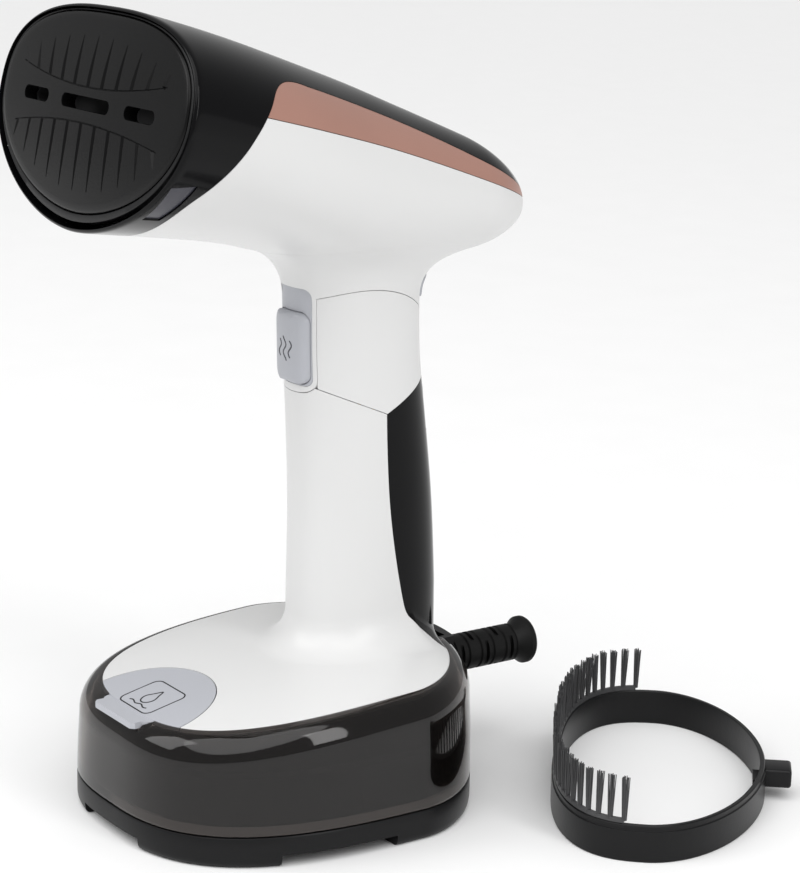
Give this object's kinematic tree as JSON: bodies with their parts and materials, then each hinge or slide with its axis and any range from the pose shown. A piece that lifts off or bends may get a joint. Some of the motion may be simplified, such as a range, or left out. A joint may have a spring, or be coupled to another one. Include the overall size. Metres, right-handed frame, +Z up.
{
  "type": "garment steamer",
  "caption": "Upright folding garment steamer: steam head on a hinged neck, grip with steam key, smoke-clear water tank foot, and a separate clip-on brush ring beside it.",
  "frame": {"origin": "middle of the footprint of the steamer and its brush ring, on the surface they stand on", "axes": "-Y out of the steam plate, +Z up, +X to the side on which the brush ring lies"},
  "size_m": [0.1662, 0.2202, 0.2451],
  "materials": {
    "white": "semi-gloss moulded, fine grain",
    "gloss_black": "high gloss",
    "satin_black": "satin moulded",
    "key_grey": "satin moulded",
    "rose": "metallic satin paint",
    "smoke": "clear smoke tint",
    "plate_black": "non-stick coated, satin",
    "rubber": "matt",
    "steel": "bright",
    "aluminium": "as cast, darkened by heat",
    "brass": "turned",
    "nylon": "natural moulded",
    "silicone": "matt translucent",
    "dark_violet_grey": "satin moulded",
    "bristle": "filament"
  },
  "bodies": {
    "stand": {"foot_base": "satin_black", "foot_pad_1": "rubber", "foot_pad_2": "rubber", "foot_pad_3": "rubber", "foot_pad_4": "rubber", "water_tank": "smoke", "tank_gasket": "silicone", "tank_cover": "satin_black", "filler_seat": "key_grey", "flap_pin": "steel", "pickup_tube": "nylon", "inlet_filter": "nylon", "handle_shell": "white", "rear_panel": "gloss_black", "cheek_left": "white", "cheek_right": "white", "cord_housing": "satin_black", "strain_relief": "rubber", "cord_clamp": "nylon", "pump_body": "nylon", "water_hose": "silicone", "hinge_pin": "steel", "hinge_bush_left": "brass", "hinge_bush_right": "brass"},
    "head": {"steam_plate": "plate_black", "plate_bezel": "satin_black", "plate_seal": "silicone", "steam_chamber": "aluminium", "chamber_carrier": "nylon", "thermostat": "steel", "thermal_fuse": "nylon", "carrier_screw_1": "steel", "carrier_screw_2": "steel", "carrier_screw_3": "steel", "carrier_screw_4": "steel", "head_shell": "white", "head_cover": "gloss_black", "trim_band": "rose", "brush_catch_left": "dark_violet_grey", "brush_catch_right": "dark_violet_grey", "hinge_drum": "white", "key_frame": "key_grey", "key_spring": "steel", "release_spring": "steel", "feed_tube": "silicone"},
    "flap": {"filler_flap": "key_grey", "filler_plug": "silicone"},
    "key": {"steam_key": "key_grey"},
    "release": {"release_button": "key_grey"},
    "brush": {"brush_ring": "satin_black", "brush_bristles": "bristle"}
  },
  "joints": [
    {"name": "head_fold", "type": "hinge", "parent": "stand", "child": "head", "pos_m": [-0.02582, -0.01714, 0.123], "axis": [-1, 0, 0], "range_deg": [0, 80]},
    {"name": "flap_hinge", "type": "hinge", "parent": "stand", "child": "flap", "pos_m": [-0.02582, -0.06764, 0.04167], "axis": [-1, 0, 0], "range_deg": [0, 75]},
    {"name": "steam_key_press", "type": "slide", "parent": "head", "child": "key", "axis": [0, 1, 0], "range_m": [0, 0.0018], "stiffness_N_per_m": 700, "springref_m": -0.001, "deforming": ["key_spring"]},
    {"name": "release_press", "type": "slide", "parent": "head", "child": "release", "axis": [0, -1, 0], "range_m": [0, 0.0015], "stiffness_N_per_m": 700, "springref_m": -0.001},
    {"name": "brush_lift", "type": "slide", "parent": "stand", "child": "brush", "axis": [0, 0, 1], "range_m": [0, 0.025]}
  ]
}
